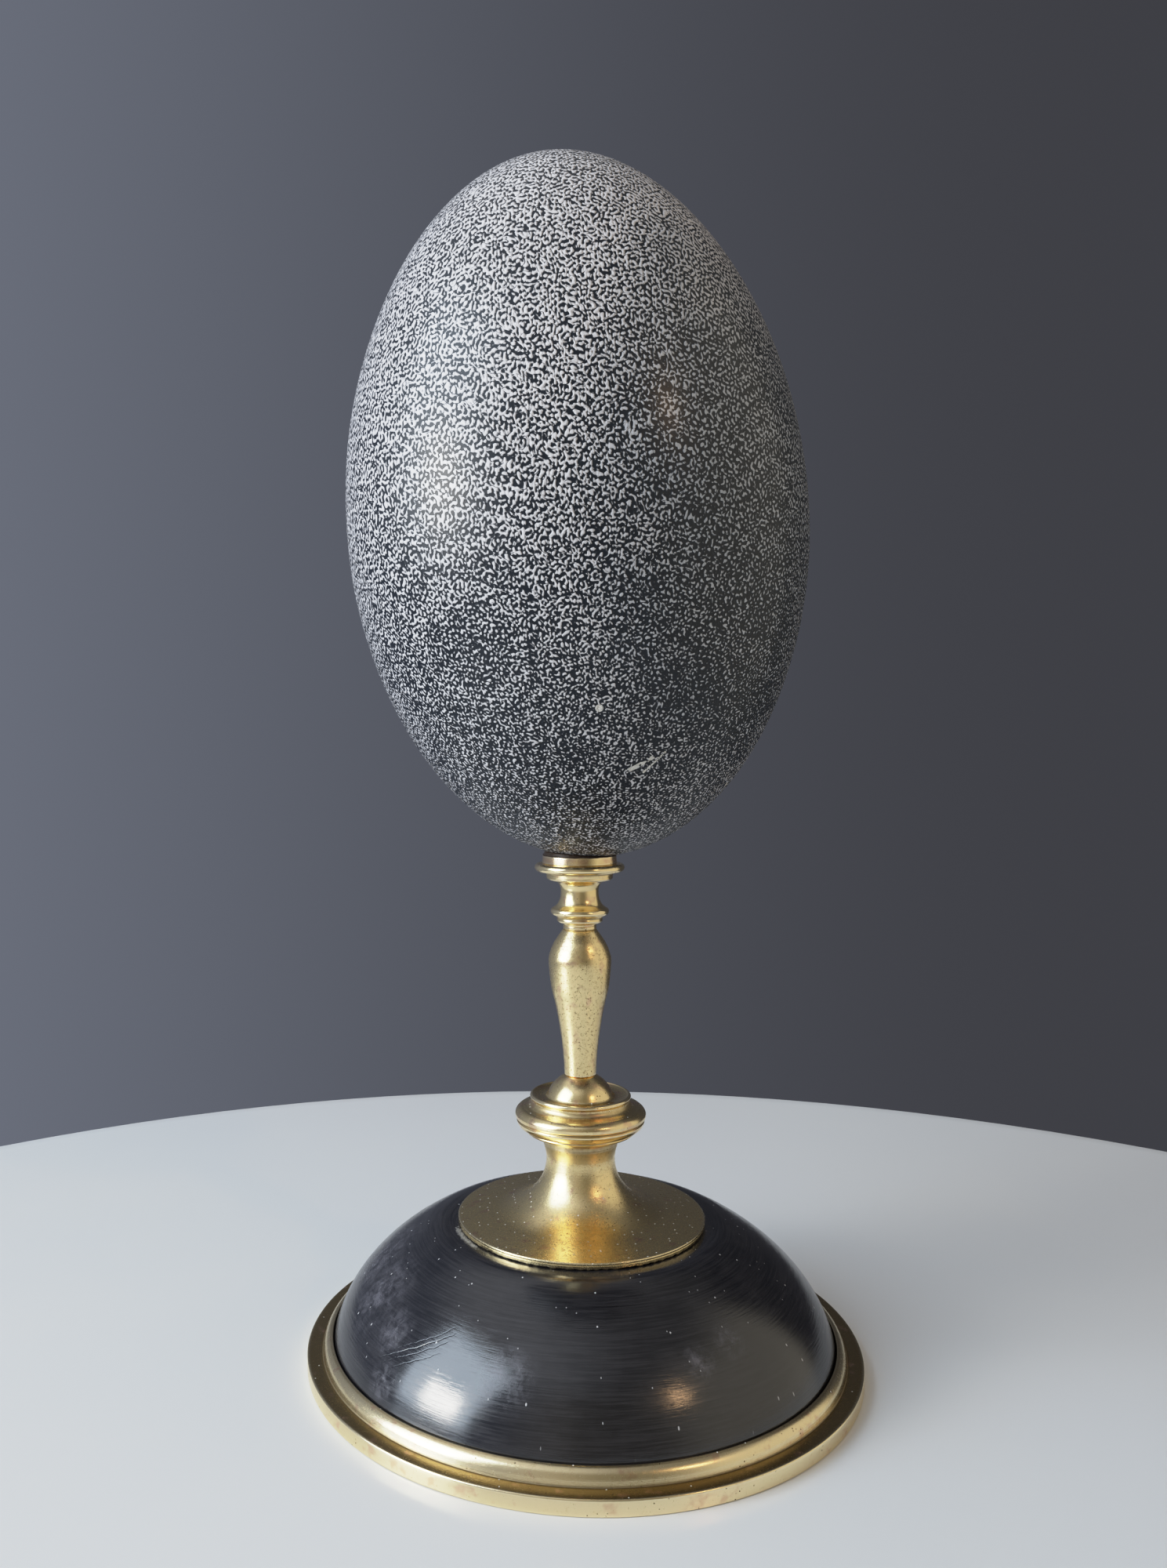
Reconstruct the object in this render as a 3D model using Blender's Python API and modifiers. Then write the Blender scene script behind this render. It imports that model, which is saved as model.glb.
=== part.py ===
"""An emu egg on a turned stand: a leaning egg bedded in a shallow cup, on a slim brass
stem that rises from a domed wooden plinth set in a round brass base plate.

Units are metres and +Z is up. The origin is on the floor, under the stem's axis.
Run with: blender --background --python part.py
"""

import math

import bpy
from mathutils import Matrix

MM = 0.001
GAP = 0.3 * MM  # clearance left where two pieces meet
EDGE = 0.2 * MM  # the small chamfer on a sharp edge

# The egg
EGG_LENGTH = 135.3 * MM
EGG_WIDTH = 89.0 * MM
EGG_TAPER = -0.034  # how much fuller the lower end is, as a share of the width
EGG_SHOULDER = -0.035  # how much both ends are drawn in
EGG_LEAN = math.radians(4.3)  # towards -X at the top
EGG_CENTRE_X = -0.86 * MM
EGG_CENTRE_Z = 166.1 * MM
EGG_AROUND = 34
EGG_ROWS = 22

# Heights where one piece of the stand ends and the next begins
CUP_TOP = 98.75 * MM
CUP_BOTTOM = 97.4 * MM
COLLAR_BOTTOM = 85.1 * MM
BALUSTER_BOTTOM = 55.3 * MM
KNOP_BOTTOM = 41.8 * MM
DISC_BOTTOM = 26.3 * MM
PLINTH_TOP = DISC_BOTTOM - GAP

# The dark seat that the egg is bedded in, inside the cup's rim and a little above it
SEAT_TOP = 100.1 * MM
SEAT_LIP_RADIUS = 7.15 * MM
SEAT_TOP_RADIUS = 6.7 * MM

# The cup and the collar below it
CUP_RADIUS = 7.3 * MM
CUP_FOOT_RADIUS = 7.42 * MM
CUP_RIM = 0.65 * MM  # how thick its wall is
CUP_FLOOR = CUP_BOTTOM + 0.4 * MM
FLANGE_RADIUS = 8.9 * MM
FLANGE_BULGE = 0.75 * MM
SPOOL_WAIST_RADIUS = 3.75 * MM
RING_RADIUS = 5.8 * MM
RING_BULGE = 0.55 * MM
RING_Z = 87.95 * MM

# The baluster
STEM_BEAD_RADIUS = 3.2 * MM
STEM_BEAD_BULGE = 0.45 * MM
BELLY_RADIUS = 6.17 * MM
BELLY_Z = 77.8 * MM
ANKLE_RADIUS = 3.1 * MM

# The knop: a ball cap over a big ring
CAP_RADIUS = 7.05 * MM
CAP_CENTRE_Z = 48.76 * MM
KNOP_RADIUS = 13.0 * MM
KNOP_RING_Z = 47.45 * MM
KNOP_RING_BULGE = (1.8 * MM, 1.35 * MM)  # outwards, upwards

# The trumpet foot
NECK_RADIUS = 6.81 * MM
NECK_Z = 38.6 * MM
FLARE = (12.0 * MM, 10.5 * MM)  # the sweep's width and height
DISC_RADIUS = 24.5 * MM
DISC_RIM_HEIGHT = 1.1 * MM

# The base plate
BEAD_INNER_RADIUS = 49.35 * MM
BEAD_OUTER_RADIUS = 51.33 * MM
BEAD_TOP = 5.5 * MM
PLATE_RADIUS = 54.47 * MM
PLATE_THICKNESS = 2.9 * MM
RECESS_FLOOR = 1.4 * MM

# The plinth's dome is part of an ellipsoid that is centred on the floor
DOME_RADIUS = 49.85 * MM
DOME_HEIGHT = 31.7 * MM
DOME_TOP_RADIUS = 28.6 * MM
PLINTH_SEAT_RADIUS = 26.5 * MM
PLINTH_WALL_RADIUS = BEAD_INNER_RADIUS - GAP

# Each piece has a round spigot underneath, held in a socket of the piece below
CUP_SPIGOT = (2.2 * MM, 4.0 * MM)  # radius, length
COLLAR_SPIGOT = (1.5 * MM, 4.0 * MM)
BALUSTER_SPIGOT = (1.8 * MM, 6.0 * MM)
KNOP_SPIGOT = (3.0 * MM, 7.0 * MM)
FOOT_SPIGOT = (4.0 * MM, 12.0 * MM)

# How many flat facets go round a piece
STEPS_THIN = 22
STEPS_KNOP = 28
STEPS_DISC = 36
STEPS_WIDE = 48


def arc(centre, radii, start, end, count):
    """Points (r, z) on an ellipse from one angle to another, in degrees: 0 points outwards and 90 up."""
    points = []
    for i in range(count + 1):
        angle = math.radians(start + (end - start) * i / count)
        r = centre[0] + radii[0] * math.cos(angle)
        z = centre[1] + radii[1] * math.sin(angle)
        points.append((r, z))
    return points


def smooth_through(knots, count):
    """Points (r, z) on the Catmull-Rom curve through the knots, count to each stretch."""
    first = tuple(2 * a - b for a, b in zip(knots[0], knots[1]))
    last = tuple(2 * a - b for a, b in zip(knots[-1], knots[-2]))
    padded = [first, *knots, last]
    points = []
    for i in range(1, len(padded) - 2):
        p0, p1, p2, p3 = padded[i - 1 : i + 3]
        for step in range(count):
            t = step / count
            points.append(tuple(
                0.5 * (2 * b + (c - a) * t + (2 * a - 5 * b + 4 * c - d) * t**2
                       + (3 * b - a - 3 * c + d) * t**3)
                for a, b, c, d in zip(p0, p1, p2, p3)
            ))
    points.append(knots[-1])
    return points


def in_mm(points):
    """The same points, given in millimetres, as metres."""
    return [(r * MM, z * MM) for r, z in points]


def socket_points(spigot, mouth_z):
    """A profile's first points: the floor and wall of the socket that takes this spigot."""
    radius, length = spigot
    floor_z = mouth_z - length - GAP
    return [(0, floor_z), (radius + GAP, floor_z), (radius + GAP, mouth_z)]


def spigot_points(spigot, shoulder_z):
    """A profile's last points: the wall and end of the spigot below a shoulder."""
    radius, length = spigot
    return [(radius, shoulder_z), (radius, shoulder_z - length), (0, shoulder_z - length)]


def material(name, colour, roughness, metallic):
    made = bpy.data.materials.new(name)
    made.use_nodes = True
    shader = made.node_tree.nodes["Principled BSDF"]
    shader.inputs["Base Color"].default_value = (*colour, 1)
    shader.inputs["Roughness"].default_value = roughness
    shader.inputs["Metallic"].default_value = metallic
    made.diffuse_color = (*colour, 1)
    return made


def turned(name, profile, steps, finish, home):
    """A piece turned on the lathe: the profile runs from the axis over the top, down the outer side and back."""
    mesh = bpy.data.meshes.new(name)
    edges = [(i, i + 1) for i in range(len(profile) - 1)]
    mesh.from_pydata([(r, 0, z) for r, z in profile], edges, [])
    piece = bpy.data.objects.new(name, mesh)
    home.objects.link(piece)
    screw = piece.modifiers.new("turning", "SCREW")
    screw.axis = "Z"
    screw.steps = steps
    screw.render_steps = steps
    screw.use_merge_vertices = True
    screw.merge_threshold = 0.00001
    screw.use_smooth_shade = True
    mesh.materials.append(finish)
    return piece


def egg_radius(t):
    """The egg's radius at t, which runs from -1 at its lower end to 1 at its top."""
    oval = math.sqrt(max(0, 1 - t * t))
    return EGG_WIDTH / 2 * oval * (1 + EGG_TAPER * t + EGG_SHOULDER * t * t)


def egg_profile(clearance, rows):
    """The egg's outline from its top to its lower end, about its own centre."""
    half = EGG_LENGTH / 2 + clearance
    points = []
    for i in range(rows + 1):
        t = math.cos(math.pi * i / rows)
        swell = clearance * math.sqrt(max(0, 1 - t * t))
        points.append((egg_radius(t) + swell, half * t))
    return points


def place_egg(piece):
    """Leans the egg about its centre and lifts it to its place."""
    lean = Matrix.Rotation(-EGG_LEAN, 4, "Y")
    piece.matrix_world = Matrix.Translation((EGG_CENTRE_X, 0, EGG_CENTRE_Z)) @ lean


def make_egg(home, finish):
    egg = turned("egg", egg_profile(0, EGG_ROWS), EGG_AROUND, finish, home)
    place_egg(egg)
    return egg


def make_seat(home, cutters, finish):
    """A thin bed of dark mastic: it fills the cup, laps over its rim and is dished by the egg's own shape."""
    bottom = CUP_FLOOR + GAP
    inner = CUP_RADIUS - CUP_RIM - GAP
    lip = CUP_TOP + GAP
    profile = [
        (0, SEAT_TOP),
        (SEAT_TOP_RADIUS, SEAT_TOP),
        (SEAT_LIP_RADIUS, lip),
        (inner, lip),
        (inner, bottom),
        (0, bottom),
    ]
    seat = turned("seat", profile, STEPS_THIN, finish, home)
    dish = turned("dish_cutter", egg_profile(GAP, EGG_ROWS), EGG_AROUND, finish, cutters)
    place_egg(dish)
    dish.hide_render = True
    dish.display_type = "WIRE"
    cut = seat.modifiers.new("dish", "BOOLEAN")
    cut.operation = "DIFFERENCE"
    cut.object = dish
    cut.solver = "EXACT"
    return seat


def make_egg_cup(home, finish):
    """A shallow round cup, like a drum with a thin rim."""
    inner = CUP_RADIUS - CUP_RIM
    profile = [
        (0, CUP_FLOOR),
        (inner, CUP_FLOOR),
        (inner, CUP_TOP),
        (CUP_RADIUS - EDGE, CUP_TOP),
        (CUP_RADIUS, CUP_TOP - EDGE),
        (CUP_FOOT_RADIUS, CUP_BOTTOM),
        *spigot_points(CUP_SPIGOT, CUP_BOTTOM),
    ]
    return turned("egg_cup", profile, STEPS_THIN, finish, home)


def make_collar(home, finish):
    """A rounded flange and a fillet over a waisted spool, which ends in a lower ring."""
    top = CUP_BOTTOM - GAP
    flange_centre = (FLANGE_RADIUS - FLANGE_BULGE, top - FLANGE_BULGE)
    ring_centre = (RING_RADIUS - RING_BULGE, RING_Z)
    fillet = in_mm([(6.6, 95.45), (6.4, 95.2), (6.05, 94.15), (5.7, 93.9)])
    waist = (SPOOL_WAIST_RADIUS, 91.5 * MM)
    spool = [*in_mm([(4.3, 93.6)]), waist, *in_mm([(4.05, 89.9), (4.95, 88.75)])]
    step = in_mm([(4.5, 87.1), (4.3, 86.9), (4.1, 86.0), (3.6, 85.8)])
    profile = [
        *socket_points(CUP_SPIGOT, top),
        *arc(flange_centre, (FLANGE_BULGE, FLANGE_BULGE), 90, -90, 5),
        *fillet,
        *smooth_through(spool, 3),
        *arc(ring_centre, (RING_BULGE, RING_BULGE), 60, -80, 4),
        *step,
        (STEM_BEAD_RADIUS, COLLAR_BOTTOM),
        *spigot_points(COLLAR_SPIGOT, COLLAR_BOTTOM),
    ]
    return turned("collar", profile, STEPS_THIN, finish, home)


def make_baluster(home, finish):
    """A slim stem with a small bead at its top, a full belly and a long taper."""
    top = COLLAR_BOTTOM - GAP
    bulge = (STEM_BEAD_BULGE, STEM_BEAD_BULGE)
    bead_centre = (STEM_BEAD_RADIUS - STEM_BEAD_BULGE, top - STEM_BEAD_BULGE)
    shoulder = in_mm([(3.05, 83.6), (5.25, 81.7)])
    taper = in_mm([(5.0, 69.8), (3.65, 61.8)])
    knots = [*shoulder, (BELLY_RADIUS, BELLY_Z), *taper, (ANKLE_RADIUS, BALUSTER_BOTTOM)]
    profile = [
        *socket_points(COLLAR_SPIGOT, top),
        *arc(bead_centre, bulge, 90, -60, 4),
        *smooth_through(knots, 3),
        *spigot_points(BALUSTER_SPIGOT, BALUSTER_BOTTOM),
    ]
    return turned("baluster", profile, STEPS_THIN, finish, home)


def make_knop(home, finish):
    """A ball cap on a stepped flange, a big rounded ring, and a grooved underside drawn in to the neck."""
    seat = BALUSTER_BOTTOM - GAP
    cap_start = math.degrees(math.asin((seat - CAP_CENTRE_Z) / CAP_RADIUS))
    ring_centre = (KNOP_RADIUS - KNOP_RING_BULGE[0], KNOP_RING_Z)
    flange = in_mm([(6.9, 51.0), (9.5, 51.35), (9.75, 51.3), (9.98, 51.05), (10.1, 50.35)])
    cove = in_mm([(10.3, 50.15), (10.55, 49.4), (11.1, 48.9)])
    groove = in_mm([(12.7, 46.6), (12.72, 46.3)])
    lower_ring = in_mm([(12.35, 45.5), (11.6, 44.75), (11.3, 44.6), (11.2, 44.25)])
    underside = in_mm([(10.6, 43.6), (9.4, 42.85), (8.1, 42.25)])
    profile = [
        *socket_points(BALUSTER_SPIGOT, seat),
        *arc((0, CAP_CENTRE_Z), (CAP_RADIUS, CAP_RADIUS), cap_start, 20, 5),
        *flange,
        *cove,
        *arc(ring_centre, KNOP_RING_BULGE, 75, -25, 5),
        *groove,
        *lower_ring,
        *underside,
        (7.5 * MM, KNOP_BOTTOM),
        *spigot_points(KNOP_SPIGOT, KNOP_BOTTOM),
    ]
    return turned("knop", profile, STEPS_KNOP, finish, home)


def make_trumpet_foot(home, finish):
    """A neck that narrows a little and then flares in one sweep to a thin, nearly flat disc."""
    top = KNOP_BOTTOM - GAP
    disc_top = DISC_BOTTOM + DISC_RIM_HEIGHT
    profile = [
        *socket_points(KNOP_SPIGOT, top),
        (7.42 * MM, top),
        (7.12 * MM, 40.4 * MM),
        *arc((NECK_RADIUS + FLARE[0], NECK_Z), FLARE, 180, 263, 8),
        (DISC_RADIUS - EDGE, disc_top),
        (DISC_RADIUS, disc_top - EDGE),
        (DISC_RADIUS - EDGE / 2, DISC_BOTTOM),
        *spigot_points(FOOT_SPIGOT, DISC_BOTTOM),
    ]
    return turned("trumpet_foot", profile, STEPS_DISC, finish, home)


def dome_angle(radius):
    """The angle on the dome's ellipse, in degrees, where it has this radius."""
    return math.degrees(math.acos(radius / DOME_RADIUS))


def make_plinth(home, finish):
    """A wooden dome with a flat seat on top and a straight wall that stands inside the brass bead."""
    foot = RECESS_FLOOR + GAP
    top_angle = dome_angle(DOME_TOP_RADIUS)
    wall_angle = dome_angle(PLINTH_WALL_RADIUS)
    profile = [
        *socket_points(FOOT_SPIGOT, PLINTH_TOP),
        (PLINTH_SEAT_RADIUS, PLINTH_TOP),
        *arc((0, 0), (DOME_RADIUS, DOME_HEIGHT), top_angle, wall_angle, 8),
        (PLINTH_WALL_RADIUS, foot + EDGE),
        (PLINTH_WALL_RADIUS - EDGE, foot),
        (0, foot),
    ]
    return turned("plinth", profile, STEPS_WIDE, finish, home)


def make_base_plate(home, finish):
    """A round plate, recessed for the wood, with a quarter-round bead and a flat rim outside it."""
    bead = (BEAD_OUTER_RADIUS - BEAD_INNER_RADIUS, BEAD_TOP - PLATE_THICKNESS)
    profile = [
        (0, RECESS_FLOOR),
        (BEAD_INNER_RADIUS, RECESS_FLOOR),
        *arc((BEAD_INNER_RADIUS, PLATE_THICKNESS), bead, 90, 0, 5),
        (PLATE_RADIUS - EDGE, PLATE_THICKNESS),
        (PLATE_RADIUS, PLATE_THICKNESS - EDGE),
        (PLATE_RADIUS, EDGE),
        (PLATE_RADIUS - EDGE, 0),
        (0, 0),
    ]
    return turned("base_plate", profile, STEPS_WIDE, finish, home)


def main():
    for old in list(bpy.data.objects):
        bpy.data.objects.remove(old)
    home = bpy.data.collections.new("emu_egg_on_stand")
    cutters = bpy.data.collections.new("cutters")
    for collection in (home, cutters):
        bpy.context.scene.collection.children.link(collection)

    shell = material("dark_eggshell", (0.13, 0.16, 0.16), 0.38, 0.0)
    brass = material("aged_brass", (0.60, 0.47, 0.25), 0.30, 1.0)
    rosy_brass = material("rosy_brass", (0.62, 0.43, 0.30), 0.32, 1.0)
    mastic = material("dark_mastic", (0.02, 0.012, 0.008), 0.5, 0.0)
    ebonised = material("ebonised_wood", (0.018, 0.018, 0.021), 0.36, 0.0)

    make_egg(home, shell)
    make_seat(home, cutters, mastic)
    make_egg_cup(home, rosy_brass)
    make_collar(home, brass)
    make_baluster(home, brass)
    make_knop(home, brass)
    make_trumpet_foot(home, brass)
    make_plinth(home, ebonised)
    make_base_plate(home, brass)


main()
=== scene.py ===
# %% [markdown]
# # An emu egg on a turned stand
#
# A dark, mottled emu egg leans a little on a slim stand. From the top down the stand has a bed of
# dark mastic, a shallow brass cup, a collar, a baluster, a knop and a trumpet foot. They rise from a
# domed plinth of blackened wood that is set in a round brass plate.
#
# The imported model gives the size and the place of every piece. It is loaded first, and its pieces are
# kept, so that their boxes can be read, and the egg's can be compared with the new shell's.

# %% Load the imported model
import math

import bpy
import numpy as np
from mathutils import Matrix, Vector


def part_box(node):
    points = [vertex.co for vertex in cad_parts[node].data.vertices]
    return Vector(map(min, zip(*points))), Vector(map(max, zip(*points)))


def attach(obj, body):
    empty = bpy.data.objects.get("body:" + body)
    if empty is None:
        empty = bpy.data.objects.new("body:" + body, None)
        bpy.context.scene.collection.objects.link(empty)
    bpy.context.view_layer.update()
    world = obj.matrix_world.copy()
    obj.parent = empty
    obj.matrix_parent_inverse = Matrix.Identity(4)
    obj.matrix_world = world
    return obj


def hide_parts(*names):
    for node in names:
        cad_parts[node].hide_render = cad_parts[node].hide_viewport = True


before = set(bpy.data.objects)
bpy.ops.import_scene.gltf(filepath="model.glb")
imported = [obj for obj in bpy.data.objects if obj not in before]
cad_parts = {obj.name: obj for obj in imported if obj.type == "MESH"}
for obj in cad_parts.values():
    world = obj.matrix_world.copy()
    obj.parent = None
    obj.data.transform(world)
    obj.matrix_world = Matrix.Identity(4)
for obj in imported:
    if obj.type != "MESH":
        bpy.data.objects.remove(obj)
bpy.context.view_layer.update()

MM = 0.001
print("pieces in the frame:", ", ".join(sorted(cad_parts)))

# %% [markdown]
# ## Heights and radii come from the frame
#
# Turned pieces stack on one axis. So two numbers say where each one is: the height of its top and its
# widest radius. Both are read here in millimetres, the unit in which the outlines below are written.

# %% Read tops and radii
def top(node):
    """The height of a piece's highest point, in millimetres."""
    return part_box(node)[1].z / MM


def radius(node):
    """A turned piece's widest radius, in millimetres."""
    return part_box(node)[1].x / MM


for node in ("egg_cup", "collar", "baluster", "knop", "trumpet_foot", "plinth", "base_plate"):
    print(f"{node}: top {top(node):.2f} mm, radius {radius(node):.2f} mm")

# %% [markdown]
# ## Outlines
#
# A turner works to an outline: a line in the plane of radius r and height z. Two curves are enough
# for every moulding here. An arc makes beads and caps, and a sweep through a few knots makes the long
# hollows and swellings. Every outline below is a row of (radius, height) pairs in millimetres, from the
# top of the piece on its axis to its foot on the axis.

# %% Arcs and sweeps
def arc(centre, radii, start, end, count=24):
    """centre + radii * (cos a, sin a), with a running evenly from start to end in degrees.

    0 points outwards and 90 points up.
    """
    a = np.radians(np.linspace(start, end, count + 1))
    return np.column_stack([centre[0] + radii[0] * np.cos(a), centre[1] + radii[1] * np.sin(a)])


def sweep(*knots, count=12):
    """The Catmull-Rom curve through the knots: between two knots it is the cubic whose slope at each
    knot is half the step from the knot before to the knot after.
    """
    k = np.array(knots, float)
    k = np.vstack([2 * k[0] - k[1], k, 2 * k[-1] - k[-2]])
    a, b, c, d = (k[i : len(k) - 3 + i, None] for i in range(4))
    t = np.linspace(0, 1, count, endpoint=False)[:, None]
    cubic = (2 * b + (c - a) * t + (2 * a - 5 * b + 4 * c - d) * t**2
             + (3 * b - a - 3 * c + d) * t**3) / 2
    return np.vstack([cubic.reshape(-1, 2), k[-2]])


print("a quarter-round in 24 steps has", len(arc((0, 0), (1, 1), 90, 0)), "points")

# %% [markdown]
# ## Rounding every corner, and remembering it
#
# Sharp corners look false on old brass, because polishing rounds them and the hollows keep dirt. A
# bevel could round them piece by piece. Here the outline is instead walked in small equal steps and
# averaged over a short stretch, which rounds every corner alike. How fast the line then turns says
# where the corners are: left turns are hollows, and right turns are edges. That number stays with the
# points as a third column, and the materials use it for grime and wear. A fourth says how far the
# surface faces up, because dust settles on what lies flat, and the brass is made browner there.

# %% Soften an outline
STEP = 0.02  # mm between the points of the fine walk
HOLLOW_REACH = 0.22  # mm over which a corner's turn is gathered
BELL_ENDS = 3  # a bell curve is cut off at this many times its width


def bell(reach):
    """A bell curve over the fine walk's points, whose width is reach in millimetres."""
    half = max(1, int(BELL_ENDS * reach / STEP))
    return np.exp(-0.5 * (np.arange(-half, half + 1) * STEP / reach) ** 2)


def averaged(values, curve, mode="reflect", **more):
    """Each value becomes the sum of its neighbours, weighted by the curve."""
    return np.convolve(np.pad(values, len(curve) // 2, mode, **more), curve, "valid")


def soften(*stretches, rounding=0.07, longest=0.6, bend=7.0):
    """Joins stretches of outline and rounds their corners. Points lie closer where the line bends:
    between two of them, length / longest + turn / bend degrees adds up to one. Returns r, z, crease
    and level: 1 where the surface faces up, 0 where it stands and -1 where it faces down.
    """
    points = np.vstack(stretches)
    walked = np.r_[0, np.cumsum(np.hypot(*np.diff(points, axis=0).T))]
    even = np.linspace(0, walked[-1], int(walked[-1] / STEP))
    weights = bell(rounding)
    weights /= weights.sum()
    r, z = (averaged(np.interp(even, walked, column), weights, reflect_type="odd")
            for column in points.T)
    heading = np.unwrap(np.arctan2(np.gradient(z), np.gradient(r)))
    turning = np.gradient(heading)
    crease = averaged(turning, bell(HOLLOW_REACH), "edge") / (np.pi / 2)
    level = np.cos(heading)
    density = STEP / longest + np.abs(turning) / np.radians(bend)
    total = np.cumsum(density)
    chosen = np.interp(np.linspace(total[0], total[-1], int(total[-1]) + 2), total, even)
    return np.column_stack([np.interp(chosen, even, v) for v in (r, z, crease, level)])


corner = soften([(0, 1), (1, 1), (1, 0)])
print(f"a softened corner has {len(corner)} points, and its crease number is {corner[:, 2].min():.2f}")

# %% [markdown]
# ## From an outline to a turned surface
#
# Blender's Screw modifier would turn an outline too. A grid worked out with numpy does the same and
# also leaves room for what a lathe doesn't do: a ragged rim, or an edge that wavers. So a function may
# push the grid's points before they become a mesh.

# %% Turn an outline
def turned(name, outline, around=160, push=None):
    """Point (i, j) is (r cos a, r sin a, z), where r and z come from the outline's point i and a is j
    of the equal steps round the axis. The outline starts and ends on the axis, which closes both ends.
    """
    r, z, crease, level = outline.T
    angle = np.linspace(0, 2 * np.pi, around, endpoint=False)
    rows = len(r) - 2
    ring_r = np.repeat(r[1:-1, None], around, axis=1)
    ring_z = np.repeat(z[1:-1, None], around, axis=1)
    if push:
        ring_r, ring_z = push(ring_r, ring_z, angle)
    rings = np.stack([ring_r * np.cos(angle), ring_r * np.sin(angle), ring_z], axis=-1)
    points = np.vstack([[0, 0, z[0]], rings.reshape(-1, 3), [0, 0, z[-1]]]) * MM

    j = np.arange(around)
    after = (j + 1) % around
    i = np.arange(rows - 1)[:, None] * around + 1
    quads = np.stack([i + j, i + around + j, i + around + after, i + after], axis=-1).reshape(-1, 4)
    lid = np.stack([0 * j, 1 + j, 1 + after], axis=-1)
    last = 1 + (rows - 1) * around
    sole = np.stack([0 * j + rows * around + 1, last + after, last + j], axis=-1)
    corners = np.concatenate([lid.ravel(), quads.ravel(), sole.ravel()])
    starts = np.concatenate([j * 3, around * 3 + np.arange(len(quads)) * 4,
                             around * 3 + len(quads) * 4 + j * 3])

    mesh = bpy.data.meshes.new(name)
    mesh.vertices.add(len(points))
    mesh.vertices.foreach_set("co", points.ravel())
    mesh.loops.add(len(corners))
    mesh.loops.foreach_set("vertex_index", corners.astype(np.int32))
    mesh.polygons.add(len(starts))
    mesh.polygons.foreach_set("loop_start", starts.astype(np.int32))
    mesh.update(calc_edges=True)
    mesh.shade_smooth()
    for label, column in (("crease", crease), ("level", level)):
        kept = mesh.attributes.new(label, "FLOAT", "POINT")
        value = np.r_[column[0], np.repeat(column[1:-1], around), column[-1]]
        kept.data.foreach_set("value", value.astype(np.float32))
    piece = bpy.data.objects.new(name, mesh)
    bpy.context.scene.collection.objects.link(piece)
    print(f"{name}: {len(points)} points, {2 * len(quads) + 2 * around} triangles")
    return piece


def waver(angle, waves, seed, slowest=2):
    """A smooth random line round the axis, within -1 to 1: sines of slowest, slowest + 1 and more
    turns, with random sizes and phases, are added up.
    """
    draw = np.random.default_rng(seed)
    size = draw.normal(size=(waves, 1))
    phase = draw.uniform(0, 2 * np.pi, (waves, 1))
    line = (size * np.sin((slowest + np.arange(waves))[:, None] * angle + phase)).sum(axis=0)
    return line / np.abs(line).max()


print("a wavering line:", np.round(waver(np.linspace(0, 2 * np.pi, 8), 5, 1), 2))

# %% [markdown]
# ## The egg
#
# An emu egg is a long oval, a little fuller towards one end. A stretched sphere would be the same at
# both ends. An ellipse's radius times a short polynomial in height gives the real shape with two
# numbers. A real shell is never quite round, so a few long, shallow waves push it in and out by about
# a tenth of a millimetre. The egg leans to the left as it stands in its cup.

# %% The egg's shape
EGG_LENGTH = 135.3  # mm
EGG_WIDTH = 89.0  # mm
EGG_TAPER = -0.034  # below zero: fuller in the lower half
EGG_SHOULDER = -0.035  # below zero: leaner at both ends
EGG_LEAN = math.radians(4.34)
EGG_CENTRE = Vector((-0.86, 0, 166.16))  # mm
# Of each wave: its size in mm, its turns round the egg, how far it climbs, and where it starts.
EGG_WAVES = ((0.11, 2, 3.0, 0.4), (0.06, 5, -4.0, 1.9), (0.04, 9, 11.0, 0.0))


def egg_radius(t):
    """Half the width, times the ellipse sqrt(1 - t t), times 1 + taper t + shoulder t t; t runs from
    -1 at the lower end to 1 at the top.
    """
    oval = np.sqrt(np.clip(1 - t * t, 0, None))
    return EGG_WIDTH / 2 * oval * (1 + EGG_TAPER * t + EGG_SHOULDER * t * t)


def uneven_shell(r, z, angle):
    """Adds the long waves, which fade out at both ends."""
    t = 2 * z / EGG_LENGTH
    for size, turns, climb, start in EGG_WAVES:
        r = r + size * np.sin(turns * angle + climb * t + start) * (1 - t * t)
    return r, z


print(f"half way up, the shell is {2 * egg_radius(0.0):.1f} mm wide")

# %% Make the egg
EGG_ROWS = 302
EGG_AROUND = 300

t = np.cos(np.linspace(0, np.pi, EGG_ROWS))
oval = np.column_stack([egg_radius(t), t * EGG_LENGTH / 2, 0 * t, t])
egg = turned("egg_shell", oval, EGG_AROUND, uneven_shell)
egg_place = Matrix.Translation(EGG_CENTRE * MM) @ Matrix.Rotation(-EGG_LEAN, 4, "Y")
egg.data.transform(egg_place)

shell_points = np.empty(3 * len(egg.data.vertices), np.float32)
egg.data.vertices.foreach_get("co", shell_points)
box_corner = shell_points.reshape(-1, 3).max(axis=0)
egg_gap = np.linalg.norm(box_corner - np.array(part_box("egg")[1])) / MM
print(f"the corner of the shell's box is {egg_gap:.2f} mm from that of the frame's egg")

# %% [markdown]
# ## The seat
#
# Between the egg and the cup there is a thin dark line, thicker on the left, where the egg lifts away.
# It looks like a bed of mastic that was pressed out when the egg was set down. So its top is cut by
# the egg's own underside. That height has no simple formula for a leaning egg, so it is found by
# halving: a point is above or below the shell, and each of many steps halves the range.

# %% The egg's underside
HALVINGS = 30


def inside_egg(x, y, z):
    """Below zero inside the shell: the distance from the egg's own axis, less its radius there."""
    dx, dz = x - EGG_CENTRE.x, z - EGG_CENTRE.z
    along = dz * math.cos(EGG_LEAN) - dx * math.sin(EGG_LEAN)
    across = dx * math.cos(EGG_LEAN) + dz * math.sin(EGG_LEAN)
    return np.hypot(across, y) - egg_radius(2 * along / EGG_LENGTH)


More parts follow.
